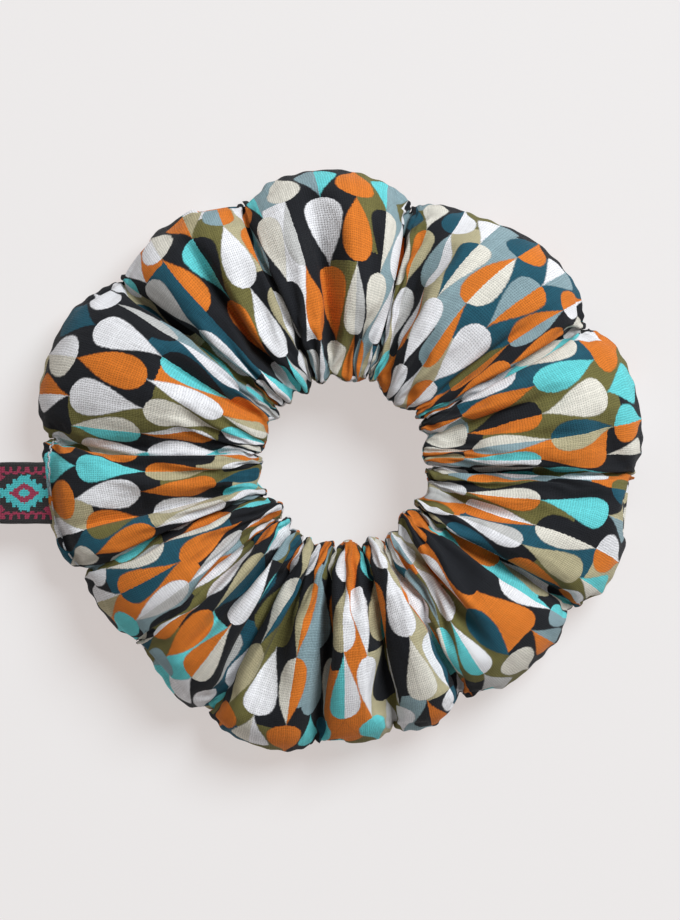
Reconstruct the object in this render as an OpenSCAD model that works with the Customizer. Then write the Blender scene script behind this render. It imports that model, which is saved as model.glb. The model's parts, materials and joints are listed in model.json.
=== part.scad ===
// Scrunchie: an elastic band inside a gathered cotton tube, with a small folded ribbon label.
// It lies flat, as on a table. The origin is the centre of the hair opening, at mid-height of its
// inner edge; +Z is up and the ribbon points towards -X.
// The ring opens and closes. So that it can, the cover and the elastic are divided into twelve
// gathers, each a stretch of the tube between two folds; the first is halved at the cross seam.

/* [Hair opening] */
// Diameter of the relaxed opening that the hair passes through
hole_d = 32; // [26:1:39]
// Height of the upright inner edge of the tube around the opening
land_h = 6; // [4:0.5:8]

/* [Cover] */
// Height of the gathered tube, from the surface it rests on to its crown
tube_h = 22; // [18:0.5:27]
// Height of the rim seam above the surface it rests on
seam_h = 9.5; // [8:0.5:11.5]
// Mean distance from the centre to the rim, over all gathers
mean_reach = 57; // [48:1:69]
// Thickness of the cotton wall, with its small tucks
wall = 0.5; // [0.4:0.1:0.8]
// Width of the flat pressed edge along the rim seam
rim_w = 2.4; // [2:0.2:3]
// Thickness of the flat pressed edge
rim_t = 1.8; // [1.6:0.1:2.4]
// Width of the seam allowance that lies inside the tube
allowance_w = 7; // [5:1:9]
// Thickness of the seam allowance, two raw edges together
allowance_t = 0.6; // [0.4:0.1:0.8]
// Angle of the open fold between neighbouring gathers
fold_gap = 1.5; // [1.2:0.1:2.5]
// Angle of the gap at the cross seam
seam_gap = 1.2; // [1.2:0.1:1.8]

/* [Elastic] */
// Width of the woven elastic band
elastic_w = 7; // [5:1:9]
// Thickness of the elastic band
elastic_t = 1; // [0.8:0.1:1.4]
// Space between the cover's inner wall and the lapped, bartacked elastic
elastic_clear = 0.6; // [0.5:0.1:1.5]
// Angle over which the two ends of the elastic lie on each other
lap_angle = 10; // [8:1:12]

/* [Ribbon label] */
// Width of the ribbon
ribbon_w = 12; // [10:1:15]
// Thickness of one layer of ribbon
ribbon_t = 0.4; // [0.3:0.05:0.5]
// Slit between the two layers of the folded ribbon
ribbon_slit = 0.1; // [0.05:0.05:0.2]
// How far the folded end stands out of the rim
ribbon_out = 10; // [8:0.5:14]
// Length of the ribbon's cut ends inside the seam
ribbon_in = 7; // [5:1:8]
// Distance from the rim to the line where the ribbon bends
bend_out = 0.85; // [0.8:0.05:1.2]
// Where the ribbon's middle lies, measured along Y
ribbon_y = -6; // [-8:0.5:-4]

/* [Stitching] */
// Diameter of the sewing thread
thread_d = 0.35; // [0.25:0.05:0.45]
// Length of one stitch
stitch = 2; // [1.6:0.1:2.5]
// Share of a stitch's length that shows
stitch_share = 0.75; // [0.6:0.05:0.85]
// Distance from the rim to the closing edge stitch
edge_inset = 1.3; // [1:0.1:1.6]
// First angle of the closing edge stitch
closing_from = 177; // [176:0.5:179]
// Last angle of the closing edge stitch
closing_to = 199; // [196:0.5:203]
// Number of bars in the bartack that joins the elastic
bars = 4; // [3:1:5]

/* [Hidden] */
gathers = 12;
pitch = 360 / gathers;
cross_seam = 220;
// How far each gather's rim stands beyond the mean, from the cross seam clockwise
extra_reach = [-1, 0, 4, 1, 0.2, -3.5, 0, 1, 0, -3, -2.5, 1, -1];
hole_r = hole_d / 2;
z_rest = -tube_h / 2;
z_top = tube_h / 2;
z_rim = z_rest + seam_h;
elastic_r = hole_r + wall + elastic_clear + thread_d + elastic_t;
ribbon_h = 2 * ribbon_t + ribbon_slit;
arc_steps = 6;
$fn = 96;

parts = concat(["end_a"], [for (k = [1 : gathers - 1]) str("gather_", k < 10 ? "0" : "", k)], ["end_b"]);

// Rim distance of gather k
function reach(k) = mean_reach + extra_reach[k];
// Angle of gather k's middle, counted clockwise from the cross seam
function middle(k) = cross_seam - k * pitch;
// Lowest and highest angle of gather k: the two ends are half gathers that meet at the cross seam
function low(k) = k == gathers ? cross_seam - 360 + seam_gap / 2 : middle(k) - pitch / 2 + fold_gap / 2;
function high(k) = k == 0 ? cross_seam - seam_gap / 2 : middle(k) + pitch / 2 - fold_gap / 2;

// A quarter of an ellipse about (cx, cz), from one angle to the other
function quarter(cx, cz, half_w, half_h, from) = [
    for (i = [0 : arc_steps])
        let (a = from - 90 * i / arc_steps)
        [cx + half_w * cos(a), cz + half_h * sin(a)]
];

// Outline of the tube's section, pulled in by a margin: an upright inner edge, a round crown,
// a full outer side down to the rim seam, and a flat underside. At the seam a strip of the given
// thickness runs on to tip_x: outwards for the pressed rim, inwards for the seam allowance.
module section(out, margin, tip_x, tip_t) {
    in_x = hole_r + margin;
    out_x = out - rim_w - margin;
    crown_x = (in_x + out_x) / 2 + 1;
    under = 5;
    above = z_rim + tip_t / 2;
    below = z_rim - tip_t / 2;
    polygon(concat(
        quarter(crown_x, land_h / 2, crown_x - in_x, z_top - margin - land_h / 2, 180),
        quarter(crown_x, above, out_x - crown_x, z_top - margin - above, 90),
        [[tip_x, above], [tip_x, below]],
        quarter(out_x - under, below, under, below - z_rest - margin, 0),
        quarter(in_x + under, -land_h / 2, under, -land_h / 2 - z_rest - margin, 270)
    ));
}

// Outline of the tube's hollow, with the seam allowance left standing in it
module hollow(out, margin) {
    root = out - rim_w - margin;
    lying = 2 * (margin - wall);
    section(out, margin, root - allowance_w - lying, allowance_t + lying);
}

// Turns a section through part of the ring
module turned(from, to) {
    rotate([0, 0, from]) rotate_extrude(angle = to - from) children();
}

// Round thread, drawn with a flat side so that it lies on what it is sewn to
module thread(x, z) {
    translate([x, z]) rotate(22.5) circle(r = thread_d / 2 / cos(22.5), $fn = 8);
}

// A row of stitches along an arc of radius r
module stitches(r, z, from, to) {
    step = stitch / r * 180 / PI;
    count = floor((to - from) / step);
    first = from + ((to - from) - count * step) / 2;
    if (count > 0)
        for (i = [0 : count - 1])
            turned(first + i * step, first + (i + stitch_share) * step) thread(r, z);
}

// One gather of the cotton cover: a hollow tube with the pressed rim and the allowance inside it
module cover(k) {
    out = reach(k);
    color("#c9c1ae")
    difference() {
        turned(low(k), high(k))
            difference() {
                section(out, 0, out, rim_t);
                hollow(out, wall);
            }
        if (k == 1) ribbon_slot();
    }
}

// Where the ribbon's ends pass between the two layers of the rim
module ribbon_slot() {
    translate([-reach(1) - 1, ribbon_y - ribbon_w / 2, z_rim - ribbon_h / 2])
        cube([ribbon_in + 1, ribbon_w, ribbon_h]);
}

// One span of the elastic band
module elastic(k) {
    color("#f2efe6")
    turned(low(k), high(k))
        translate([elastic_r, -elastic_w / 2]) square([elastic_t, elastic_w]);
}

// The far end of the band, laid inside the near end where the loop is closed
module elastic_lap() {
    color("#f2efe6")
    turned(high(0) - lap_angle, high(0))
        translate([elastic_r - elastic_t, -elastic_w / 2]) square([elastic_t, elastic_w]);
}

// Bars of thread over both faces of the lap
module elastic_bartack() {
    pace = lap_angle / (bars + 1);
    bar_angle = thread_d / elastic_r * 180 / PI;
    inner = elastic_r - elastic_t - thread_d;
    outer = elastic_r + elastic_t;
    color("#e8e6e0")
    for (i = [1 : bars], r = [inner, outer])
        turned(high(0) - i * pace, high(0) - i * pace + bar_angle)
            translate([r, -0.4 * elastic_w]) square([thread_d, 0.8 * elastic_w]);
}

// Stitches of the long seam, on the allowance inside the rim. They leave out the turning gap,
// which the closing edge stitch shuts over the ribbon's ends.
module seam_thread(k) {
    r = reach(k) - rim_w - wall - 1;
    z = z_rim + allowance_t / 2 + thread_d / 2;
    color("#3a3c40")
    if (k == 1) {
        stitches(r, z, low(k), closing_from);
        stitches(r, z, closing_to, high(k));
    } else {
        stitches(r, z, low(k), high(k));
    }
}

// Thread that closes the tube's two ends into a ring, round the inside of the first half gather
module cross_seam_thread() {
    out = reach(0);
    thread_angle = 0.5;
    clear_of_seam = allowance_w + rim_w;
    color("#3a3c40")
    turned(high(0) - 2 * thread_angle, high(0) - thread_angle)
        difference() {
            hollow(out, wall);
            hollow(out, wall + thread_d);
            translate([out - clear_of_seam - rim_w, z_rim - 1.5]) square([2 * clear_of_seam, 3]);
        }
}

// Edge stitch that closes the turning gap, on both faces of the pressed rim
module closing_edge_stitch() {
    up = rim_t / 2 + thread_d / 2;
    color("#cfd0d2")
    for (side = [-1, 1])
        stitches(reach(1) - edge_inset, z_rim + side * up, closing_from, closing_to);
}

// The folded ribbon outside the rim: two layers, joined at the fold, round at the bending line
module ribbon_tab() {
    bend_x = -reach(1) - bend_out;
    fold_x = -reach(1) - ribbon_out + ribbon_h / 2;
    color("#2a2728")
    translate([0, ribbon_y + ribbon_w / 2, z_rim])
        rotate([90, 0, 0])
            linear_extrude(ribbon_w)
                difference() {
                    union() {
                        translate([fold_x, -ribbon_h / 2]) square([bend_x - fold_x, ribbon_h]);
                        for (x = [fold_x, bend_x]) translate([x, 0]) circle(d = ribbon_h);
                    }
                    translate([fold_x, -ribbon_slit / 2]) square([bend_x - fold_x, ribbon_slit]);
                }
}

// The ribbon's two cut ends, held between the layers of the rim
module ribbon_tails() {
    color("#2a2728")
    for (side = [0, 1])
        translate([-reach(1), ribbon_y - ribbon_w / 2, z_rim - ribbon_h / 2 + side * (ribbon_t + ribbon_slit)])
            cube([ribbon_in, ribbon_w, ribbon_t]);
}

for (k = [0 : gathers]) {
    cover(k);
    elastic(k);
    seam_thread(k);
}
elastic_lap();
elastic_bartack();
cross_seam_thread();
closing_edge_stitch();
ribbon_tab();
ribbon_tails();
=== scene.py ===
"""A cotton scrunchie with a ribbon label, lying flat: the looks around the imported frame.

The file follows the object as it is put together: the cotton cover, the elastic in it,
the sewing threads, the ribbon label, and last the table, light and camera.
"""

import json
import math

import bmesh
import bpy
import numpy as np
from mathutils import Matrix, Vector

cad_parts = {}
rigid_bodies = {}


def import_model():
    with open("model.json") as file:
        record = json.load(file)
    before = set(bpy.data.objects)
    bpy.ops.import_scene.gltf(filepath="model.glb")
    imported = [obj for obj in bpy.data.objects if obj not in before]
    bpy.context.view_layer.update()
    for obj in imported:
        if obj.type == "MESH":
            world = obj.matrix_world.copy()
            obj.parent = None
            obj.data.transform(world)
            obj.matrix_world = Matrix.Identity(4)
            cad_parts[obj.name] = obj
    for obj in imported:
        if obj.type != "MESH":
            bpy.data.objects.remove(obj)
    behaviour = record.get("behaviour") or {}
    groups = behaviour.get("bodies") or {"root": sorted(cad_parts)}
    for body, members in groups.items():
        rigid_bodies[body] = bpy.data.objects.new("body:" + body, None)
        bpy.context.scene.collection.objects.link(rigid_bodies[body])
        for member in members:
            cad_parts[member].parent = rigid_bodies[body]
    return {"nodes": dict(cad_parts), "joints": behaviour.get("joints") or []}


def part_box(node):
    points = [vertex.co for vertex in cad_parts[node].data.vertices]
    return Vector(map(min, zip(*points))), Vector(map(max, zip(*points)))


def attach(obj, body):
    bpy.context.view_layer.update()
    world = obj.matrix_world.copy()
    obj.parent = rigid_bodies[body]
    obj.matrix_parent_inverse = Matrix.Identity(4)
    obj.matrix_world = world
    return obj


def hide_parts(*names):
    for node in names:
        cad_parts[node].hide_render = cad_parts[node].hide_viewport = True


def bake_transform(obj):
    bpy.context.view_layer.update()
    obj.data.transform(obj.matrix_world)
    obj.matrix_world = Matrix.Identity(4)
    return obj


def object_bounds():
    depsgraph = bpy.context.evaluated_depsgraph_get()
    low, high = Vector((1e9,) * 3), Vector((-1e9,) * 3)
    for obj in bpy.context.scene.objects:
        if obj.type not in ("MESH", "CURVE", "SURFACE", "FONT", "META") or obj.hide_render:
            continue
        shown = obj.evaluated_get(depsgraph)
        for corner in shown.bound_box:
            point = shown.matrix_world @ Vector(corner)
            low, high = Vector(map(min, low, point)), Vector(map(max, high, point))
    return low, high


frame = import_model()
cad_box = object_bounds()
MM = 0.001

# ---------------------------------------------------------------------------------------------
# Cotton cover, its shape.
# One printed cotton strip, sewn along its length into a tube, turned right side out and pushed
# together on the elastic, so that it puffs into lobes with pleats running to the hair opening.
# ---------------------------------------------------------------------------------------------
TUBE_LENGTH = 412 * MM
TUBE_GIRTH = 96 * MM
ALONG = 384
AROUND = 60
SIM_SCALE = 10
SIM_FRAMES = 13
UNDERSIDE_LEAN = -0.3

# Angles of the turning gap that the closing edge stitch shuts, in degrees
CLOSED_FROM, CLOSED_TO = 176, 200

# Folds between lobes: angle, how deep, how far the lobe that starts there leans, how tall it is
LOBES = [
    (-33, 1.00, 0.03, 1.00),
    (-3, 0.50, -0.02, 0.98),
    (29, 1.00, 0.07, 1.06),
    (75, 1.00, -0.02, 0.94),
    (112, 0.85, 0.03, 0.96),
    (141, 0.95, -0.05, 1.04),
    (175, 1.00, 0.02, 0.92),
    (204, 0.85, 0.03, 0.95),
    (222, 0.40, 0.00, 0.95),
    (242, 0.95, -0.04, 1.00),
    (264, 0.90, 0.03, 0.96),
    (280, 0.75, 0.02, 1.00),
    (296, 1.00, -0.04, 1.00),
]

# The ring opens at twelve folds, where one gather slides away from the next
slides = [joint for joint in frame["joints"] if joint["type"] == "slide"]
gathers = [slides[0]["parent"]] + [joint["child"] for joint in slides]
fold_angles = np.array([math.degrees(math.atan2(joint["axis"][0], -joint["axis"][1])) for joint in slides])
half_gather = 180 / len(slides)
gather_angles = np.append(fold_angles[0] + half_gather, fold_angles - half_gather)
floor_z = cad_box[0][2]
rest_top = cad_box[1][2]


def node_radii(node):
    """Smallest and largest distance of a CAD node from the ring's axis."""
    points = [vertex.co for vertex in frame["nodes"][node].data.vertices]
    distance = [math.hypot(point.x, point.y) for point in points]
    return min(distance), max(distance)


def cross_fold(piece):
    """Bakes a piece's placement into its mesh, where it stays."""
    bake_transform(piece)


def round_mean(angle, at, values, spread):
    """Value at each angle, a smooth mean of the values given round the ring, in degrees."""
    apart = (angle[:, None] - np.asarray(at)[None, :] + 180) % 360 - 180
    weight = np.exp(-((apart / spread) ** 2))
    return (weight * np.asarray(values)).sum(1) / weight.sum(1)


def ease(value):
    """Smooth step from 0 to 1."""
    value = np.clip(value, 0, 1)
    return value * value * (3 - 2 * value)


elastic_in, elastic_out = node_radii("elastic_" + gathers[1])
elastic_low, elastic_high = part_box("elastic_" + gathers[1])
elastic_half = (elastic_high.z - elastic_low.z) / 2
tab_low, tab_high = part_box("ribbon_tab")
rim_z = (tab_low.z + tab_high.z) / 2


def pushed_together():
    """The tube as pushed together by hand: lobes, each split into pleats towards the opening."""
    lobes = sorted((angle % 360, depth, lean, tall) for angle, depth, lean, tall in LOBES)
    at, deep, lean, tall = (np.array(column, float) for column in zip(*lobes))
    width = np.diff(np.append(at, at[0] + 360))
    share = width**0.85 / (width**0.85).sum()
    edges = np.append(0, np.cumsum(share))
    cloth = (np.arange(ALONG) + 0.5) / ALONG
    lobe = np.clip(np.searchsorted(edges, cloth, side="right") - 1, 0, len(at) - 1)
    within = (cloth - edges[lobe]) / share[lobe]
    turn = math.pi * within
    theta = at[lobe] + width[lobe] * (1 - np.cos(turn)) / 2
    depth = deep[lobe] * (1 - within) + deep[(lobe + 1) % len(at)] * within
    crest = 1 - depth * (1 - np.sin(turn) ** 0.75)
    leaning = lean[lobe] * np.sin(turn) ** 1.5
    height = round_mean(theta % 360, (at + width / 2) % 360, tall, 16)
    pleat_count = np.select([width > 40, width > 19], [3, 2], 1)[lobe]
    skew = 0.35 * np.sin(2 * turn + 1.7 * lobe)
    pleat_turn = pleat_count * (turn + skew * np.sin(turn))
    pleat = np.abs(np.sin(pleat_turn)) ** 0.8
    sizes = np.random.default_rng(5).random(64)
    overhang = 1.7 * MM * pleat * sizes[(lobe * 5 + np.floor(pleat_turn / math.pi).astype(int)) % 64]
    uneven = (np.sin(10 * math.pi * cloth + 0.7) + np.sin(22 * math.pi * cloth + 2.1)) / 2
    reaches = [node_radii("cover_" + body)[1] for body in gathers[:-1]]
    rim = round_mean(theta % 360, gather_angles[:-1] % 360, reaches, 14)
    rim += 0.6 * MM - 3.2 * MM * (1 - crest) ** 1.3
    hole = node_radii("cover_" + gathers[1])[0]

    section = 2 * math.pi * np.arange(AROUND) / AROUND
    rows_up = np.abs(np.arange(AROUND) - AROUND / 2)
    out = 0.5 + 0.5 * np.cos(section)[None, :]
    up = np.sin(section)[None, :]
    inner = 1 / (1 + np.exp((out - (0.66 + 0.24 * uneven)[:, None]) / 0.12))
    full = crest[:, None] * (1 - inner * (0.74 + 0.2 * uneven)[:, None] * (1 - pleat)[:, None])
    ridge_count = np.round(width / 11)[lobe]
    ridge = np.abs(np.sin(ridge_count * (turn - 0.25 * np.sin(2 * turn + lobe)))) ** 1.2
    wander = 0.5 + 0.5 * np.sin(2.6 * math.pi * out + 2.3 * lobe[:, None])
    full = full * (1 - 0.26 * wander * (1 - ridge)[:, None] * np.sin(math.pi * out**0.6) ** 0.5)
    near = hole + (elastic_in - 0.6 * MM - hole) * (1 - full) - overhang[:, None] * full
    radius = near + (rim[:, None] - near) * np.clip((out - 0.03) / 0.97, 0, 1)
    lobe_lift = (0.98 * rest_top * height[:, None] * full + 0.8 * MM) * np.abs(up) ** 0.75
    over = elastic_half + 0.7 * MM
    over_elastic = np.minimum(over * rows_up / 3, over)[None, :]
    over_elastic = over_elastic * (1 - ease((radius - elastic_out - MM) / (6 * MM)))
    lift = np.maximum(lobe_lift, over_elastic) * np.sign(up) + rim_z * out
    side_lean = np.where(up > 0, 1, UNDERSIDE_LEAN)
    angle = np.radians(theta)[:, None] + leaning[:, None] * np.sin(math.pi * out) * full * side_lean
    points = np.stack([radius * np.cos(angle), radius * np.sin(angle), lift], axis=2)
    caught = 1 - pleat * np.minimum(1, 1.2 * crest) > 0.6
    return points, caught, theta % 360


def tube_faces(along, around):
    """Quads of a tube that closes on itself both ways."""
    i, j = np.meshgrid(np.arange(along), np.arange(around), indexing="ij")
    i2, j2 = (i + 1) % along, (j + 1) % around
    corners = [i * around + j, i2 * around + j, i2 * around + j2, i * around + j2]
    return np.stack(corners, axis=2).reshape(-1, 4)


def sewn_flat():
    """The tube before gathering: pressed flat, it stands as an upright band."""
    turn = 2 * math.pi * (np.arange(ALONG) + 0.5) / ALONG
    share = np.arange(AROUND) / AROUND
    radius = TUBE_LENGTH / (2 * math.pi) + np.where(share <= 0.5, 0.4, -0.4) * MM
    level = np.broadcast_to(np.abs(share - 0.5) * TUBE_GIRTH, (ALONG, AROUND))
    return np.stack([np.outer(np.cos(turn), radius), np.outer(np.sin(turn), radius), level], axis=2)


def obstacle(name, points, faces):
    """Something the cloth can't pass through while it settles."""
    mesh = bpy.data.meshes.new(name)
    mesh.from_pydata((np.asarray(points) * SIM_SCALE).tolist(), [], faces)
    thing = bpy.data.objects.new(name, mesh)
    bpy.context.scene.collection.objects.link(thing)
    thing.modifiers.new("Collision", "COLLISION")
    thing.collision.thickness_outer = 0.002
    return thing


def settle(points, caught, angles):
    """Lets the pushed-together tube find its own wrinkles, held on the elastic and the closed edge."""
    mesh = bpy.data.meshes.new("cloth")
    mesh.from_pydata((points.reshape(-1, 3) * SIM_SCALE).tolist(), [], tube_faces(ALONG, AROUND).tolist())
    cloth = bpy.data.objects.new("cloth", mesh)
    bpy.context.scene.collection.objects.link(cloth)
    cloth.shape_key_add(name="gathered")
    flat = cloth.shape_key_add(name="flat")
    flat.data.foreach_set("co", (sewn_flat() * SIM_SCALE).astype(np.float32).ravel())
    held = cloth.vertex_groups.new(name="held")
    closed = (angles > CLOSED_FROM) & (angles < CLOSED_TO)
    for i in range(ALONG):
        for row, weight in enumerate((1.0, 1.0, 0.8, 0.5, 0.2)):
            for side in {AROUND // 2 - row, AROUND // 2 + row}:
                held.add([i * AROUND + side], weight * (1.0 if caught[i] else 0.7), "REPLACE")
        if closed[i]:
            held.add([i * AROUND], 1.0, "REPLACE")
    modifier = cloth.modifiers.new("Cloth", "CLOTH")
    cotton_cloth = modifier.settings
    cotton_cloth.quality = 6
    cotton_cloth.mass = 0.15
    cotton_cloth.tension_stiffness = 15
    cotton_cloth.compression_stiffness = 15
    cotton_cloth.shear_stiffness = 5
    cotton_cloth.bending_model = "ANGULAR"
    cotton_cloth.bending_stiffness = 2.0
    cotton_cloth.bending_damping = 0.5
    cotton_cloth.air_damping = 2
    cotton_cloth.vertex_group_mass = "held"
    cotton_cloth.pin_stiffness = 5
    cotton_cloth.rest_shape_key = flat
    cotton_cloth.use_pressure = True
    cotton_cloth.uniform_pressure_force = 1.9
    cotton_cloth.effector_weights.gravity = 0.2
    modifier.collision_settings.collision_quality = 3
    modifier.collision_settings.distance_min = 0.003
    modifier.collision_settings.use_self_collision = True
    modifier.collision_settings.self_distance_min = 0.004
    modifier.point_cache.frame_end = SIM_FRAMES

    wide = 0.2
    corners = [(x * wide, y * wide, floor_z) for x, y in ((-1, -1), (1, -1), (1, 1), (-1, 1))]
    table = obstacle("table_top", corners, [(0, 1, 2, 3)])
    ring = 2 * math.pi * np.arange(96) / 96
    profile = [(elastic_in, -1), (elastic_out, -1), (elastic_out, 1), (elastic_in, 1)]
    loops = [(r * math.cos(a), r * math.sin(a), side * elastic_half) for a in ring for r, side in profile]
    band = obstacle("band", loops, tube_faces(96, 4).tolist())
    for number in range(1, SIM_FRAMES + 1):
        bpy.context.scene.frame_set(number)
    settled = cloth.evaluated_get(bpy.context.evaluated_depsgraph_get())
    found = np.zeros(ALONG * AROUND * 3, np.float32)
    settled.data.vertices.foreach_get("co", found)
    for thing in (cloth, table, band):
        bpy.data.objects.remove(thing)
    bpy.context.scene.frame_set(1)
    return found.reshape(ALONG, AROUND, 3).astype(float) / SIM_SCALE


def finer(points, axis):
    """Twice as many points along one way of the closed tube, on the same smooth surface."""
    before, after = np.roll(points, 1, axis), np.roll(points, -1, axis)
    pair = np.stack([(before + 6 * points + after) / 8, (points + after) / 2], axis=axis + 1)
    shape = list(points.shape)
    shape[axis] *= 2
    return pair.reshape(shape)


tube, caught, started_at = pushed_together()
tube = settle(tube, caught, started_at)
tube = finer(finer(tube, 0), 1)
COLUMNS, ROWS = tube.shape[:2]
COLUMN_STEP = TUBE_LENGTH / COLUMNS
ROW_STEP = TUBE_GIRTH / ROWS


def surface_normals(points):
    """Outward direction of the tube's surface at each point."""
    along = np.roll(points, -1, 0) - np.roll(points, 1, 0)
    around = np.roll(points, -1, 1) - np.roll(points, 1, 1)
    normal = np.cross(around, along)
    normal /= np.linalg.norm(normal, axis=2, keepdims=True)
    outward = points[:, 0] - points[:, ROWS // 2]
    return normal * np.sign((normal[:, 0] * outward).sum())


middle = tube.mean(axis=1)
column_angles = np.degrees(np.arctan2(middle[:, 1], middle[:, 0])) % 360


def column_at(angle):
    """The column of the tube whose middle lies at an angle."""
    return int(np.argmin(np.abs((column_angles - angle + 180) % 360 - 180)))


cuts = [column_at(angle) for angle in gather_angles[:-1]]
cuts.append(cuts[0])
SEAM_COLUMN = cuts[0]

# The long seam is a pressed edge: the rim stands out to a crease, and its stitches pucker it
rim_out = tube[:, 0] - (tube[:, 4] + tube[:, -4]) / 2
rim_out /= np.linalg.norm(rim_out, axis=1, keepdims=True)
pucker = 0.18 * MM * np.sin(2 * math.pi * np.arange(COLUMNS) * COLUMN_STEP / (3.1 * MM))
pucker = pucker * np.sin(2 * math.pi * np.arange(COLUMNS) * COLUMN_STEP / (23 * MM))
for row, share in ((0, 1.0), (1, 0.42), (2, 0.12)):
    push = rim_out * (share * (0.75 * MM + pucker))[:, None]
    tube[:, row] += push
    if row:
        tube[:, -row] += push

# The closed part of the rim is pressed flat and stitched through both layers
closed = ease(1 - (np.abs(column_angles - (CLOSED_FROM + CLOSED_TO) / 2) - 11) / 3)
for row in range(1, 9):
    half_gap = (tube[:, row] - tube[:, -row]) / 2
    size = np.linalg.norm(half_gap, axis=1)
    thin = half_gap * (closed * (1 - ease((row - 3) / 6)) * np.clip(1 - 0.6 * MM / size, 0, 1))[:, None]
    tube[:, row] -= thin
    tube[:, -row] += thin

# The cross seam, where the tube's two ends are joined, sinks into a groove
normals = surface_normals(tube)
for step, share in ((0, 1.0), (1, 0.5), (-1, 0.5), (2, -0.25), (-2, -0.25)):
    column = (SEAM_COLUMN + step) % COLUMNS
    tube[column] -= normals[column] * 0.5 * MM * share
normals = surface_normals(tube)


def link(name, mesh, material):
    """Puts a mesh in the scene as a smooth-shaded piece."""
    piece = bpy.data.objects.new(name, mesh)
    bpy.context.scene.collection.objects.link(piece)
    mesh.polygons.foreach_set("use_smooth", [True] * len(mesh.polygons))
    mesh.materials.append(material)
    return piece


def grid_mesh(name, points, spots, around_closed, point_normals=None):
    """A mesh over a grid of points, with a map of its cloth coordinates in millimetres."""
    along, around = points.shape[:2]
    rows = around if around_closed else around - 1
    i, j = np.meshgrid(np.arange(along - 1), np.arange(rows), indexing="ij")
    j2 = (j + 1) % around
    quads = np.stack([i * around + j, (i + 1) * around + j, (i + 1) * around + j2, i * around + j2], axis=2)
    mesh = bpy.data.meshes.new(name)
    mesh.from_pydata(points.reshape(-1, 3).tolist(), [], quads.reshape(-1, 4).tolist())
    x, y = spots
    corner_x = np.stack([x[i], x[i + 1], x[i + 1], x[i]], axis=2)
    corner_y = np.stack([y[j], y[j], y[j + 1], y[j + 1]], axis=2)
    cloth_map = mesh.uv_layers.new(name="cloth")
    cloth_map.data.foreach_set("uv", np.stack([corner_x, corner_y], axis=3).astype(np.float32).ravel())
    if point_normals is not None:
        mesh.polygons.foreach_set("use_smooth", [True] * len(mesh.polygons))
        mesh.normals_split_custom_set_from_vertices(point_normals.reshape(-1, 3).tolist())
    return mesh


# ---------------------------------------------------------------------------------------------
# Cotton cover, its print and finish.
# Plain-woven cotton printed with columns of two-colour drops that point up and down by turns,
# then cut into the twelve lengths between the gathers.
# ---------------------------------------------------------------------------------------------
class Wiring:
    """Adds nodes to one tree; a value is a number, a tuple or another node's output."""

    def __init__(self, tree):
        self.tree = tree

    def node(self, kind, values=(), **settings):
        made = self.tree.nodes.new(kind)
        for name, setting in settings.items():
            setattr(made, name, setting)
        pairs = values.items() if isinstance(values, dict) else enumerate(values)
        for key, value in pairs:
            if isinstance(value, bpy.types.NodeSocket):
                self.tree.links.new(value, made.inputs[key])
            else:
                made.inputs[key].default_value = value
        return made

    def math(self, operation, *values, clamp=False):
        return self.node("ShaderNodeMath", values, operation=operation, use_clamp=clamp).outputs[0]

    def split(self, vector):
        return self.node("ShaderNodeSeparateXYZ", [vector]).outputs

    def join(self, x, y, z=0.0):
        return self.node("ShaderNodeCombineXYZ", [x, y, z]).outputs[0]

    def smooth(self, value, low, high, from_value=0.0, to_value=1.0):
        ranged = [value, low, high, from_value, to_value]
        made = self.node("ShaderNodeMapRange", ranged, interpolation_type="SMOOTHSTEP")
        return made.outputs[0]

    def chance(self, *place):
        """A number from 0 to 1 that is the same wherever the place's whole numbers are."""
        made = self.node("ShaderNodeTexWhiteNoise", {"Vector": self.join(*place)}, noise_dimensions="3D")
        return made.outputs["Value"]

    def cloud(self, vector, scale, detail=2.0):
        made = self.node("ShaderNodeTexNoise", {"Vector": vector, "Scale": scale, "Detail": detail})
        return made.outputs["Fac"]

    def blend(self, factor, first, second, how="MIX"):
        made = self.node("ShaderNodeMix", data_type="RGBA", blend_type=how)
        for name, value in zip(("Factor_Float", "A_Color", "B_Color"), (factor, first, second)):
            socket = next(socket for socket in made.inputs if socket.identifier == name)
            if isinstance(value, bpy.types.NodeSocket):
                self.tree.links.new(value, socket)
            else:
                socket.default_value = value
        return next(socket for socket in made.outputs if socket.identifier == "Result_Color")

    def pick(self, value, inks):
        """One of the inks for each value from 0 to 1, as often as its share says."""
        made = self.node("ShaderNodeValToRGB", [value])
        made.color_ramp.interpolation = "CONSTANT"
        total = sum(share for share, _ in inks)
        reached = 0.0
        for number, (share, ink) in enumerate(inks):
            stops = made.color_ramp.elements
            stop = stops[0] if number == 0 else stops.new(reached)
            stop.color = ink
            reached += share / total
        made.color_ramp.elements.remove(made.color_ramp.elements[-1])
        return made.outputs["Color"]


def new_group(name, takes, gives):
    """A shader node group with named inputs and outputs."""
    group = bpy.data.node_groups.new(name, "ShaderNodeTree")
    for title, kind, value in takes:
        socket = group.interface.new_socket(name=title, in_out="INPUT", socket_type="NodeSocket" + kind)
        if value is not None:
            socket.default_value = value
    for title, kind in gives:
        group.interface.new_socket(name=title, in_out="OUTPUT", socket_type="NodeSocket" + kind)
    wiring = Wiring(group)
    return wiring, wiring.node("NodeGroupInput").outputs, wiring.node("NodeGroupOutput").inputs


def use_group(wiring, name, values):
    """Places a node group in a material with its own values."""
    made = wiring.node("ShaderNodeGroup", node_tree=bpy.data.node_groups[name])
    for key, value in values.items():
        if isinstance(value, bpy.types.NodeSocket):
            wiring.tree.links.new(value, made.inputs[key])
        else:
            made.inputs[key].default_value = value
    return made.outputs


def give(wiring, sockets, **results):
    """Connects a group's results, named with _ for each space."""
    for name, value in results.items():
        wiring.tree.links.new(value, sockets[name.replace("_", " ")])


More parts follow.
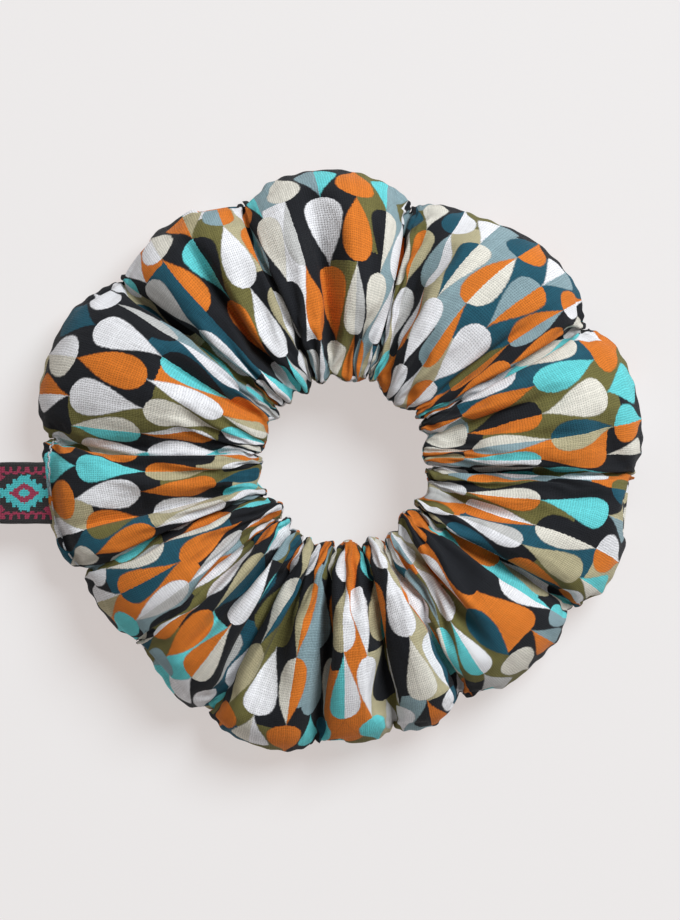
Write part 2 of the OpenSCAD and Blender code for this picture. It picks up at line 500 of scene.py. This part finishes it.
def ink(red, green, blue):
    """A colour from its display values, each from 11 to 255."""
    return tuple(((value / 255 + 0.055) / 1.055) ** 2.4 for value in (red, green, blue)) + (1.0,)


def make_plain_weave():
    """Warp and weft threads that pass over and under each other, with small dark gaps between."""
    takes = [("Cloth", "Vector", None), ("Warp Pitch", "Float", 0.4), ("Weft Pitch", "Float", 0.4)]
    gives = [("Height", "Float"), ("Gaps", "Float"), ("Yarn", "Float")]
    w, given, results = new_group("plain weave", takes, gives)
    x, y, _ = w.split(given["Cloth"])
    wander = w.math("MULTIPLY", w.math("SUBTRACT", w.cloud(given["Cloth"], 0.35, 1.0), 0.5), 1.6)
    across = w.math("ADD", w.math("DIVIDE", x, given["Warp Pitch"]), wander)
    up = w.math("SUBTRACT", w.math("DIVIDE", y, given["Weft Pitch"]), wander)
    threads = []
    for place in (across, up):
        wave = w.math("COSINE", w.math("MULTIPLY", place, 2 * math.pi))
        threads.append(w.math("MULTIPLY_ADD", wave, -0.5, 0.5))
    cells = w.math("ADD", w.math("FLOOR", across), w.math("FLOOR", up))
    over = w.math("FLOORED_MODULO", cells, 2.0)
    warp = w.math("MULTIPLY", threads[0], w.math("MULTIPLY_ADD", over, 0.5, 0.5))
    weft = w.math("MULTIPLY", threads[1], w.math("MULTIPLY_ADD", over, -0.5, 1.0))
    bare = w.math("MULTIPLY", w.math("SUBTRACT", 1.0, threads[0]), w.math("SUBTRACT", 1.0, threads[1]))
    warp_tone = w.chance(w.math("FLOOR", across), 3.0, 1.0)
    weft_tone = w.chance(w.math("FLOOR", up), 5.0, 2.0)
    yarn = w.math("ADD", warp_tone, weft_tone)
    give(w, results, Height=w.math("MAXIMUM", warp, weft), Gaps=w.math("POWER", bare, 2.0), Yarn=yarn)


def make_worn_folds():
    """Soft small creases that a gathered fabric keeps, and the fuzz that lightens it."""
    takes = [("Cloth", "Vector", None), ("Crease Size", "Float", 4.0), ("Fuzz Size", "Float", 0.5)]
    gives = [("Creases", "Float"), ("Fuzz", "Float")]
    w, given, results = new_group("worn fabric", takes, gives)
    x, y, _ = w.split(given["Cloth"])
    long_way = w.join(x, w.math("MULTIPLY", y, 0.45), 7.0)
    size = w.math("DIVIDE", 1.0, given["Crease Size"])
    creases = w.cloud(long_way, size, 3.0)
    fuzz = w.cloud(given["Cloth"], w.math("DIVIDE", 1.0, given["Fuzz Size"]), 2.0)
    give(w, results, Creases=creases, Fuzz=fuzz)


WHITE, CREAM = ink(240, 240, 243), ink(226, 222, 210)
ORANGE, AQUA, TEAL = ink(220, 122, 40), ink(104, 212, 216), ink(30, 84, 102)
PALE_GREY, GREY_BLUE = ink(200, 200, 198), ink(140, 165, 172)
KHAKI, OLIVE, NEAR_BLACK = ink(186, 177, 142), ink(112, 107, 60), ink(26, 28, 33)
DROP_INKS = [
    (28, WHITE),
    (20, ORANGE),
    (11, CREAM),
    (11, AQUA),
    (5, PALE_GREY),
    (8, GREY_BLUE),
    (5, TEAL),
    (4, KHAKI),
    (5, NEAR_BLACK),
    (3, OLIVE),
]
GROUND_INKS = [
    (46, NEAR_BLACK),
    (19, OLIVE),
    (12, GREY_BLUE),
    (7, KHAKI),
    (6, TEAL),
    (5, ORANGE),
    (3, WHITE),
    (2, AQUA),
]


# A drop is widest at this share of its length from the tip; its edge wanders by so many mm
WIDEST_AT = 0.76
RAGGED_EDGE = 0.35
TWO_COLOUR_SHARE = 0.66


def make_drop_print():
    """Columns of drops, tip to round end, most of them split down the middle into two colours."""
    takes = [("Cloth", "Vector", None), ("Column Width", "Float", 5.5), ("Drop Length", "Float", 11.1)]
    takes += [("Drop Fullness", "Float", 0.54), ("Bleed", "Float", 0.17)]
    gives = [("Color", "Color"), ("Outline", "Float")]
    w, given, results = new_group("drop print", takes, gives)
    width, length = given["Column Width"], given["Drop Length"]
    ragged = w.node("ShaderNodeTexNoise", {"Vector": given["Cloth"], "Scale": 2.1, "Detail": 1.0})
    noise_x, noise_y, _ = w.split(ragged.outputs["Color"])
    x, y, _ = w.split(given["Cloth"])
    x = w.math("ADD", x, w.math("MULTIPLY", w.math("SUBTRACT", noise_x, 0.5), RAGGED_EDGE))
    y = w.math("ADD", y, w.math("MULTIPLY", w.math("SUBTRACT", noise_y, 0.5), RAGGED_EDGE))
    column = w.math("DIVIDE", x, width)
    left = w.math("FLOOR", column)
    level = w.math("DIVIDE", y, length)
    strip_start = w.math("MULTIPLY", w.chance(left, 1.0, 9.0), 4.0)
    field = w.math("FLOOR", w.math("MULTIPLY_ADD", level, 0.5, strip_start))
    colour = w.pick(w.chance(left, field, 4.0), GROUND_INKS)
    outline = None
    for side in (0.0, 1.0):
        axis = w.math("ADD", left, side)
        apart = w.math("MULTIPLY", w.math("ABSOLUTE", w.math("SUBTRACT", column, axis)), width)
        pointing = w.math("MULTIPLY_ADD", w.math("FLOORED_MODULO", axis, 2.0), -2.0, 1.0)
        shift = w.math("MULTIPLY", w.chance(axis, 2.0, 6.0), 0.08)
        along = w.math("ADD", w.math("MULTIPLY", level, pointing), shift)
        number = w.math("FLOOR", along)
        within = w.math("SUBTRACT", along, number)
        rising = w.math("MULTIPLY", w.math("MINIMUM", w.math("DIVIDE", within, WIDEST_AT), 1.0), math.pi / 2)
        swelling = w.math("POWER", w.math("SINE", rising), 1.35)
        past = w.math("MAXIMUM", w.math("SUBTRACT", within, WIDEST_AT), 0.0)
        past = w.math("DIVIDE", past, 1 - WIDEST_AT)
        under_arc = w.math("SUBTRACT", 1.0, w.math("MULTIPLY", past, past))
        rounding = w.math("SQRT", w.math("MAXIMUM", under_arc, 0.0))
        half = w.math("MULTIPLY", w.math("MULTIPLY", swelling, rounding), given["Drop Fullness"])
        room = w.math("SUBTRACT", w.math("MULTIPLY", half, width), apart)
        inside = w.smooth(room, w.math("MULTIPLY", given["Bleed"], -1.0), given["Bleed"])
        both = w.chance(axis, number, 11.0)
        own = w.chance(axis, number, 20.0 + side)
        same = w.math("GREATER_THAN", w.chance(axis, number, 15.0), TWO_COLOUR_SHARE)
        split = w.math("MULTIPLY", own, w.math("SUBTRACT", 1.0, same))
        value = w.math("ADD", w.math("MULTIPLY", both, same), split)
        colour = w.blend(inside, colour, w.pick(value, DROP_INKS))
        edge = w.math("MULTIPLY", w.math("MULTIPLY", inside, w.math("SUBTRACT", 1.0, inside)), 4.0)
        outline = edge if outline is None else w.math("MAXIMUM", outline, edge)
    give(w, results, Color=colour, Outline=outline)


def new_material(name, roughness, **constants):
    """A material with its Principled shader; constants are set on the shader's own sockets."""
    material = bpy.data.materials.new(name)
    material.use_nodes = True
    shader = next(node for node in material.node_tree.nodes if node.type == "BSDF_PRINCIPLED")
    shader.inputs["Roughness"].default_value = roughness
    for title, value in constants.items():
        shader.inputs[title.replace("_", " ")].default_value = value
    return material, Wiring(material.node_tree), shader


def connect(wiring, shader, colour, height, depth, roughness=None):
    """Feeds a colour, a relief in metres for a full height of 1, and a roughness to a shader."""
    bump = wiring.node("ShaderNodeBump", {"Strength": 1.0, "Distance": depth, "Height": height})
    wiring.tree.links.new(bump.outputs["Normal"], shader.inputs["Normal"])
    wiring.tree.links.new(colour, shader.inputs["Base Color"])
    if roughness:
        wiring.tree.links.new(roughness, shader.inputs["Roughness"])


def shade(wiring, colour, factor):
    """A colour made lighter or darker by a number."""
    grey = wiring.node("ShaderNodeCombineColor", [factor, factor, factor]).outputs[0]
    return wiring.blend(1.0, colour, grey, how="MULTIPLY")


make_plain_weave()
make_worn_folds()
make_drop_print()

printed_cotton, w, shader = new_material("printed cotton", 0.86, Sheen_Weight=0.04, Sheen_Roughness=0.5)
shader.inputs["Specular IOR Level"].default_value = 0.25
spot = w.node("ShaderNodeUVMap", uv_map="cloth").outputs[0]
drops = use_group(w, "drop print", {"Cloth": spot})
weave = use_group(w, "plain weave", {"Cloth": spot, "Warp Pitch": 0.36, "Weft Pitch": 0.38})
worn = use_group(w, "worn fabric", {"Cloth": spot, "Crease Size": 5.0, "Fuzz Size": 0.32})
tone = w.math("MULTIPLY_ADD", weave["Yarn"], 0.1, 0.9)
tone = w.math("MULTIPLY", tone, w.math("MULTIPLY_ADD", weave["Gaps"], -0.5, 1.0))
tone = w.math("MULTIPLY", tone, w.math("MULTIPLY_ADD", drops["Outline"], -0.16, 1.0))
tone = w.math("MULTIPLY", tone, w.math("MULTIPLY_ADD", worn["Fuzz"], 0.5, 0.7))
relief = w.math("ADD", w.math("MULTIPLY", weave["Height"], 0.07), w.math("MULTIPLY", worn["Creases"], 1.1))
rough = w.math("MULTIPLY_ADD", worn["Fuzz"], 0.12, 0.8)
connect(w, shader, shade(w, drops["Color"], tone), relief, MM, rough)

for number in range(1, len(gathers)):
    start, end = cuts[number], cuts[number - 1]
    count = (end - start) % COLUMNS
    columns = (start + np.arange(count + 1)) % COLUMNS
    first = (start - SEAM_COLUMN) % COLUMNS * COLUMN_STEP
    spots = (first + np.arange(count + 1) * COLUMN_STEP) / MM, np.arange(ROWS + 1) * ROW_STEP / MM
    name = f"cover_panel_{number:02d}"
    mesh = grid_mesh(name, tube[columns], spots, True, normals[columns])
    panel = link(name, mesh, printed_cotton)
    cross_fold(panel)
    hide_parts("cover_" + gathers[number - 1], "cover_" + gathers[number])

# ---------------------------------------------------------------------------------------------
# Elastic: one length of ribbed woven elastic, joined end to end into a ring inside the cover.
# The ends overlap in a short lap that is held by a bartack; the rest slides free in the tube.
# ---------------------------------------------------------------------------------------------
RIBS = 6
RIB_DEPTH = 0.16 * MM


def elastic_section():
    """Outline of the band, up its outer face and down its inner one, as radius and height."""
    level = np.linspace(-1, 1, 37)
    rib = RIB_DEPTH * (0.5 + 0.5 * np.cos(math.pi * RIBS * (level + 1)))
    rib = rib + 0.25 * MM * np.abs(level) ** 24
    outer = np.stack([elastic_out - rib, level * elastic_half], axis=1)
    inner = np.stack([elastic_in + rib, level * elastic_half], axis=1)[::-1]
    return np.concatenate([outer, inner])


elastic, w, shader = new_material("ribbed elastic", 0.72, Sheen_Weight=0.1, Sheen_Roughness=0.5)
spot = w.node("ShaderNodeUVMap", uv_map="cloth").outputs[0]
weave = use_group(w, "plain weave", {"Cloth": spot, "Warp Pitch": 0.55, "Weft Pitch": 0.3})
worn = use_group(w, "worn fabric", {"Cloth": spot, "Crease Size": 6.0, "Fuzz Size": 0.4})
tone = w.math("MULTIPLY_ADD", weave["Gaps"], -0.35, 0.95)
tone = w.math("MULTIPLY", tone, w.math("MULTIPLY_ADD", worn["Fuzz"], 0.2, 0.88))
relief = w.math("MULTIPLY_ADD", worn["Creases"], 0.2, w.math("MULTIPLY", weave["Height"], 0.12))
off_white = w.node("ShaderNodeRGB")
off_white.outputs[0].default_value = ink(228, 226, 220)
rough = w.math("MULTIPLY_ADD", worn["Fuzz"], 0.15, 0.65)
connect(w, shader, shade(w, off_white.outputs[0], tone), relief, MM, rough)

section = elastic_section()
around_band = np.append(0, np.cumsum(np.linalg.norm(np.roll(section, -1, 0) - section, axis=1)))
for number in range(1, len(gathers)):
    sweep = np.radians(fold_angles[number - 1] + np.linspace(-half_gather, half_gather, 17))
    band = [[(r * math.cos(a), r * math.sin(a), z) for r, z in section] for a in sweep]
    spots = sweep * elastic_out / MM, around_band / MM
    mesh = grid_mesh("elastic band", np.array(band), spots, True)
    piece = link(f"elastic_band_{number:02d}", mesh, elastic)
    cross_fold(piece)
    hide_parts("elastic_" + gathers[number - 1], "elastic_" + gathers[number])

# ---------------------------------------------------------------------------------------------
# Sewing threads: two-ply polyester lockstitch along the tube's long seam inside the rim, round
# the cross seam that joins its ends, and, showing on top, where the turning gap was sewn shut.
# ---------------------------------------------------------------------------------------------
STITCH_PITCH = 2.4 * MM
STITCH_GAP = 0.5 * MM
SEAM_DISTANCE = 2.4 * MM
EDGE_DISTANCE = 1.7 * MM
THREAD_SIDES = 8
THREAD_RADIUS = 0.16 * MM


def on_tube(columns, rows, raised=0.0):
    """Points of the cover at columns and rows between its own, raised along its surface's normal."""
    columns, rows, raised = np.broadcast_arrays(columns, rows, raised)
    column, row = np.floor(columns).astype(int), np.floor(rows).astype(int)
    total = 0
    for next_column, column_share in ((0, 1 - columns + column), (1, columns - column)):
        for next_row, row_share in ((0, 1 - rows + row), (1, rows - row)):
            cell = (column + next_column) % COLUMNS, (row + next_row) % ROWS
            point = tube[cell] + raised[..., None] * normals[cell]
            total = total + point * (column_share * row_share)[..., None]
    return total


def thread_mesh(name, stitches, radius):
    """Round stitches with tapered ends, one along each row of points, mapped along and around."""
    turn = 2 * math.pi * np.arange(THREAD_SIDES) / THREAD_SIDES
    points, faces, corners = [], [], []
    for stitch in stitches:
        tangent = np.gradient(stitch, axis=0)
        tangent /= np.linalg.norm(tangent, axis=1, keepdims=True)
        side = np.cross(tangent, (0.0, 0.0, 1.0))
        side /= np.maximum(np.linalg.norm(side, axis=1, keepdims=True), 1e-9)
        other = np.cross(tangent, side)
        steps = np.linalg.norm(np.diff(stitch, axis=0), axis=1)
        length = np.append(0, np.cumsum(steps)) / MM
        thick = np.full(len(stitch), radius)
        thick[[0, -1]] *= 0.45
        base = len(points)
        for point, u, v, r in zip(stitch, side, other, thick):
            points.extend((point + r * (math.cos(a) * u + math.sin(a) * v)).tolist() for a in turn)
        for ring in range(len(stitch) - 1):
            for k in range(THREAD_SIDES):
                k2 = (k + 1) % THREAD_SIDES
                here, there = base + ring * THREAD_SIDES, base + (ring + 1) * THREAD_SIDES
                faces.append((here + k, here + k2, there + k2, there + k))
                low, high = k / THREAD_SIDES, (k + 1) / THREAD_SIDES
                first, second = length[ring], length[ring + 1]
                corners += [(first, low), (first, high), (second, high), (second, low)]
        last = base + (len(stitch) - 1) * THREAD_SIDES
        faces.append(tuple(range(base + THREAD_SIDES - 1, base - 1, -1)))
        faces.append(tuple(range(last, last + THREAD_SIDES)))
        corners += [(0.0, 0.0)] * (2 * THREAD_SIDES)
    mesh = bpy.data.meshes.new(name)
    mesh.from_pydata(points, [], faces)
    mesh.uv_layers.new(name="thread").data.foreach_set("uv", np.array(corners, np.float32).ravel())
    return mesh


def make_two_ply():
    """Two plies twisted round each other, with loose fibres."""
    takes = [("Thread", "Vector", None), ("Twist", "Float", 0.7)]
    w, given, results = new_group("two ply", takes, [("Height", "Float"), ("Groove", "Float")])
    along, around, _ = w.split(given["Thread"])
    phase = w.math("ADD", w.math("DIVIDE", along, given["Twist"]), around)
    wave = w.math("ABSOLUTE", w.math("SINE", w.math("MULTIPLY", phase, 2 * math.pi)))
    fibres = w.cloud(w.join(along, w.math("MULTIPLY", around, 6.0)), 9.0)
    height = w.math("MULTIPLY_ADD", fibres, 0.3, wave)
    groove = w.math("SUBTRACT", 1.0, w.math("MINIMUM", w.math("MULTIPLY", wave, 2), 1))
    give(w, results, Height=height, Groove=groove)


def thread_material(name, colour, roughness):
    """A matt thread of one colour, darker between its plies."""
    material, w, shader = new_material(name, roughness, Sheen_Weight=0.2, Sheen_Roughness=0.4)
    ply = use_group(w, "two ply", {"Thread": w.node("ShaderNodeUVMap", uv_map="thread").outputs[0]})
    plain = w.node("ShaderNodeRGB")
    plain.outputs[0].default_value = colour
    tone = w.math("MULTIPLY_ADD", ply["Groove"], -0.45, 1.0)
    rough = w.math("MULTIPLY_ADD", ply["Groove"], 0.25, roughness)
    connect(w, shader, shade(w, plain.outputs[0], tone), ply["Height"], 0.05 * MM, rough)
    return material


make_two_ply()
seam_thread = thread_material("seam thread", ink(52, 56, 62), 0.6)
edge_thread = thread_material("edge thread", ink(196, 199, 203), 0.5)
stitch_columns = STITCH_PITCH / COLUMN_STEP
drawn = (STITCH_PITCH - STITCH_GAP) / COLUMN_STEP
seam_rows = SEAM_DISTANCE / ROW_STEP
in_rows = EDGE_DISTANCE / ROW_STEP


def is_closed(column):
    """True in the turning gap, which the closing edge stitch shuts instead of the seam."""
    return CLOSED_FROM < column_angles[int(column) % COLUMNS] < CLOSED_TO


for number in range(1, len(gathers)):
    start = cuts[number]
    count = (cuts[number - 1] - start) % COLUMNS
    stitches = []
    for column in start + np.arange(0.3, count - drawn, stitch_columns):
        if not is_closed(column):
            reach = column + np.linspace(0, drawn, 4)
            stitches.append((on_tube(reach, seam_rows) + on_tube(reach, ROWS - seam_rows)) / 2)
    mesh = thread_mesh("seam stitches", stitches, THREAD_RADIUS)
    piece = link(f"seam_stitches_{number:02d}", mesh, seam_thread)
    cross_fold(piece)
    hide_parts("seam_thread_" + gathers[number - 1], "seam_thread_" + gathers[number])

CROSS_SEAM_SUNK = 0.28 * MM
drawn_rows = (STITCH_PITCH - STITCH_GAP) / ROW_STEP
stitches = []
for row in np.arange(0, ROWS - drawn_rows, STITCH_PITCH / ROW_STEP):
    reach = row + np.linspace(0, drawn_rows, 5)
    stitches.append(on_tube(np.full(5, float(SEAM_COLUMN)), reach, -CROSS_SEAM_SUNK))
mesh = thread_mesh("cross seam stitches", stitches, THREAD_RADIUS)
cross_stitches = link("cross_seam_stitches", mesh, seam_thread)
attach(cross_stitches, gathers[0])
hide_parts("cross_seam_thread")

# The closing stitch shows on both sides of the edge, and is sewn back over itself beside the label
first, last = column_at(CLOSED_FROM), column_at(CLOSED_TO - 1)
EDGE_STITCH = 2.1 * MM
EDGE_STITCH_GAP = 0.55 * MM
EDGE_THREAD_RADIUS = 0.17 * MM
DIP = np.array([-0.12, 0.1, 0.17, 0.17, 0.1, -0.12]) * MM
stitches = []
lines = [(first, last, in_rows, 0.0), (first, first + (last - first) * 0.42, in_rows + 0.8, 0.5)]
for begin, end, rows_in, offset in lines:
    column = begin + offset * EDGE_STITCH / COLUMN_STEP
    while column < end:
        reach = column + np.linspace(0, (EDGE_STITCH - EDGE_STITCH_GAP) / COLUMN_STEP, len(DIP))
        sway = 0.12 * math.sin(column * 1.7)
        stitches.append(on_tube(reach, rows_in + sway, DIP))
        stitches.append(on_tube(reach, ROWS - rows_in - sway, DIP))
        column += EDGE_STITCH / COLUMN_STEP
closing = link("closing_stitches", thread_mesh("closing stitches", stitches, EDGE_THREAD_RADIUS), edge_thread)
cross_fold(closing)
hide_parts("closing_edge_stitch")

# The lap of the elastic and its bartack keep their own solids
for node, material in (("elastic_lap", elastic), ("elastic_bartack", edge_thread)):
    for held_slot in frame["nodes"][node].material_slots:
        held_slot.material = material

# ---------------------------------------------------------------------------------------------
# Ribbon label: a jacquard-woven ribbon with a stepped diamond and sawtooth borders, folded in
# half across its length, its two tails caught between the cover's layers by the closing stitch.
# ---------------------------------------------------------------------------------------------
tails_low, tails_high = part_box("ribbon_tails")
LAYER = 0.36 * MM
FOLD_RADIUS = (tab_high.z - tab_low.z) / 2 - LAYER / 2
RIBBON_WIDTH = tab_high.y - tab_low.y
MOTIF = 10 * MM
ribbon_middle = (tab_low.y + tab_high.y) / 2


def ribbon_path():
    """The middle of the ribbon's thickness, from one tail round the fold to the other."""
    bend_x = tab_low.x + FOLD_RADIUS + LAYER / 2
    x = np.linspace(tails_high.x, bend_x, 44)
    bow = 0.16 * MM * np.sin(math.pi * np.clip((tails_low.x - x) / (tails_low.x - bend_x), 0, 1))
    top = np.stack([x, rim_z + FOLD_RADIUS + bow], axis=1)
    turn = np.linspace(math.pi / 2, 3 * math.pi / 2, 11)[1:-1]
    bend = np.stack([bend_x + FOLD_RADIUS * np.cos(turn), rim_z + FOLD_RADIUS * np.sin(turn)], axis=1)
    bottom = np.stack([x, rim_z - FOLD_RADIUS - bow], axis=1)[::-1]
    return np.concatenate([top, bend, bottom])


def ribbon_mesh():
    """The ribbon as a thin solid with rounded selvedges, mapped along and across in millimetres."""
    path = ribbon_path()
    tangent = np.gradient(path, axis=0)
    tangent /= np.linalg.norm(tangent, axis=1, keepdims=True)
    face = np.stack([-tangent[:, 1], tangent[:, 0]], axis=1)
    length = np.append(0, np.cumsum(np.linalg.norm(np.diff(path, axis=0), axis=1)))
    across = np.linspace(-1, 1, 33)
    thick = LAYER / 2 * (1 - np.abs(across) ** 30 * 0.7) * (1 + 0.12 * (np.abs(across) > 0.93))
    outline = [(a, t) for a, t in zip(across, thick)] + [(a, -t) for a, t in zip(across[::-1], thick[::-1])]
    points = []
    for (x, z), (face_x, face_z), run in zip(path, face, length):
        wave = 1 - 0.012 * math.sin(run / (2.3 * MM)) ** 2
        for a, t in outline:
            y = ribbon_middle + a * wave * RIBBON_WIDTH / 2
            points.append((x - face_x * t, y, z - face_z * t))
    spread = np.array([a for a, _ in outline] + [outline[0][0]]) * RIBBON_WIDTH / 2
    grid = np.array(points).reshape(len(path), len(outline), 3)
    mesh = grid_mesh("ribbon", grid, (length / MM, spread / MM), True)
    solid = bmesh.new()
    solid.from_mesh(mesh)
    bmesh.ops.holes_fill(solid, edges=solid.edges, sides=len(outline))
    solid.to_mesh(mesh)
    return mesh, length[-1]


ribbon_material, w, shader = new_material("jacquard ribbon", 0.6, Sheen_Weight=0.25, Sheen_Roughness=0.35)
spot = w.node("ShaderNodeUVMap", uv_map="cloth").outputs[0]
along, across, _ = w.split(spot)
along = w.math("ADD", along, w.math("MULTIPLY", w.math("SUBTRACT", w.cloud(spot, 1.3), 0.5), 0.7))
across = w.math("ADD", across, w.math("MULTIPLY", w.math("SUBTRACT", w.cloud(spot, 0.8), 0.5), 0.5))
mesh, ribbon_length = ribbon_mesh()
STEP = 0.3
stepped = w.math("MULTIPLY", w.math("FLOOR", w.math("DIVIDE", along, STEP)), STEP)
from_fold = w.math("SUBTRACT", stepped, ribbon_length / MM / 2)
turned = w.math("PINGPONG", from_fold, MOTIF / MM / 2)
dx = w.math("ABSOLUTE", w.math("SUBTRACT", MOTIF / MM / 2, turned))
dy = w.math("MULTIPLY", w.math("FLOOR", w.math("DIVIDE", w.math("ABSOLUTE", across), STEP)), STEP)


def diamond(half_long, half_wide, step_size=0.0):
    """1 inside a diamond round the motif's middle, 0 outside, with a comb of steps along its sides."""
    size = w.math("ADD", w.math("DIVIDE", dx, half_long), w.math("DIVIDE", dy, half_wide))
    comb = w.math("GREATER_THAN", w.math("FLOORED_MODULO", w.math("ADD", dx, 0.1), 1.2), 0.55)
    limit = w.math("MULTIPLY_ADD", comb, step_size, 1.0)
    return w.math("LESS_THAN", size, limit)


def line(distance, centre, half):
    """1 where a distance is within half of centre."""
    return w.math("LESS_THAN", w.math("ABSOLUTE", w.math("SUBTRACT", distance, centre)), half)


CRIMSON, TURQUOISE, INKY = ink(158, 44, 76), ink(72, 192, 196), ink(34, 32, 33)
colour = w.node("ShaderNodeRGB")
colour.outputs[0].default_value = INKY
colour = colour.outputs[0]
colour = w.blend(diamond(4.5, 3.3, 0.2), colour, TURQUOISE)
colour = w.blend(diamond(2.75, 2.0), colour, CRIMSON)
colour = w.blend(diamond(1.1, 0.8), colour, TURQUOISE)
sawtooth = w.math("PINGPONG", from_fold, 0.8)
border = w.math("ADD", dy, w.math("MULTIPLY", sawtooth, -0.6))
colour = w.blend(line(border, 3.65, 0.28), colour, CRIMSON)
dots = w.math("MULTIPLY", line(dy, 4.75, 0.3), w.math("GREATER_THAN", sawtooth, 0.45))
colour = w.blend(dots, colour, CRIMSON)
from_border = w.math("ABSOLUTE", w.math("SUBTRACT", dy, 3.0))
wedge = w.math("ADD", w.math("DIVIDE", turned, 1.3), from_border)
colour = w.blend(w.math("LESS_THAN", wedge, 1.0), colour, CRIMSON)
weave = use_group(w, "plain weave", {"Cloth": spot, "Warp Pitch": 0.3, "Weft Pitch": 0.34})
worn = use_group(w, "worn fabric", {"Cloth": spot, "Crease Size": 5.0, "Fuzz Size": 0.35})
tone = w.math("MULTIPLY_ADD", weave["Height"], 0.5, 0.62)
tone = w.math("MULTIPLY", tone, w.math("MULTIPLY_ADD", worn["Fuzz"], 0.35, 0.82))
relief = w.math("MULTIPLY_ADD", worn["Creases"], 0.25, w.math("MULTIPLY", weave["Height"], 0.12))
rough = w.math("MULTIPLY_ADD", worn["Fuzz"], 0.25, 0.5)
connect(w, shader, shade(w, colour, tone), relief, MM, rough)

ribbon = link("ribbon_label", mesh, ribbon_material)
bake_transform(ribbon)
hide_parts("ribbon_tab", "ribbon_tails")

# ---------------------------------------------------------------------------------------------
# Table, light and camera.
# A pale table with a faint painted glow that lightens its shadows, under a wide soft sky, with one
# large window light from the upper right, seen straight from above.
# ---------------------------------------------------------------------------------------------
paper, w, shader = new_material("pale paper with painted glow", 0.9)
shader.inputs["Base Color"].default_value = (0.31, 0.333, 0.342, 1)
shader.inputs["Specular IOR Level"].default_value = 0.0
# Painted light: the table's own warm glow lightens and warms the shadows cast on it; the base is kept cool to
# balance it.
shader.inputs["Emission Color"].default_value = (1.0, 0.91, 0.88, 1)
shader.inputs["Emission Strength"].default_value = 0.53
TABLE_REACH = 3.0
corners = [(x * TABLE_REACH, y * TABLE_REACH, floor_z) for x, y in ((-1, -1), (1, -1), (1, 1), (-1, 1))]
table_mesh = bpy.data.meshes.new("table")
table_mesh.from_pydata(corners, [], [(0, 1, 2, 3)])
link("table", table_mesh, paper)

world = bpy.data.worlds.new("studio")
bpy.context.scene.world = world
world.use_nodes = True
w = Wiring(world.node_tree)
sky = world.node_tree.nodes["Background"]
sky.inputs["Color"].default_value = (1.0, 0.93, 0.89, 1)
sky.inputs["Strength"].default_value = 0.28
backdrop = w.node("ShaderNodeBackground", {"Color": (0.84, 0.83, 0.82, 1), "Strength": 1.0})
seen = w.node("ShaderNodeLightPath").outputs["Is Camera Ray"]
both = w.node("ShaderNodeMixShader", [seen, sky.outputs[0], backdrop.outputs[0]])
w.tree.links.new(both.outputs[0], world.node_tree.nodes["World Output"].inputs["Surface"])


def lamp(name, place, size, watts, colour):
    """A round soft light that shines on the scrunchie."""
    light = bpy.data.lights.new(name, "AREA")
    light.shape = "DISK"
    light.size = size
    light.energy = watts
    light.color = colour
    thing = bpy.data.objects.new(name, light)
    thing.location = place
    thing.rotation_euler = (-Vector(place)).to_track_quat("-Z", "Y").to_euler()
    bpy.context.scene.collection.objects.link(thing)


WINDOW_PLACE = (0.95, 1.05, 1.5)
WINDOW_SIZE = 1.15
WINDOW_WATTS = 49
lamp("window", WINDOW_PLACE, WINDOW_SIZE, WINDOW_WATTS, (0.93, 0.97, 1.0))

CAMERA_DISTANCE = 0.75
FIELD_HEIGHT = 0.178
camera_data = bpy.data.cameras.new("camera")
camera_data.lens = camera_data.sensor_width * CAMERA_DISTANCE / FIELD_HEIGHT
camera = bpy.data.objects.new("camera", camera_data)
camera.location = (-0.97 * MM, 0.39 * MM, CAMERA_DISTANCE)
bpy.context.scene.collection.objects.link(camera)
bpy.context.scene.camera = camera
bpy.context.scene.view_settings.view_transform = "Standard"
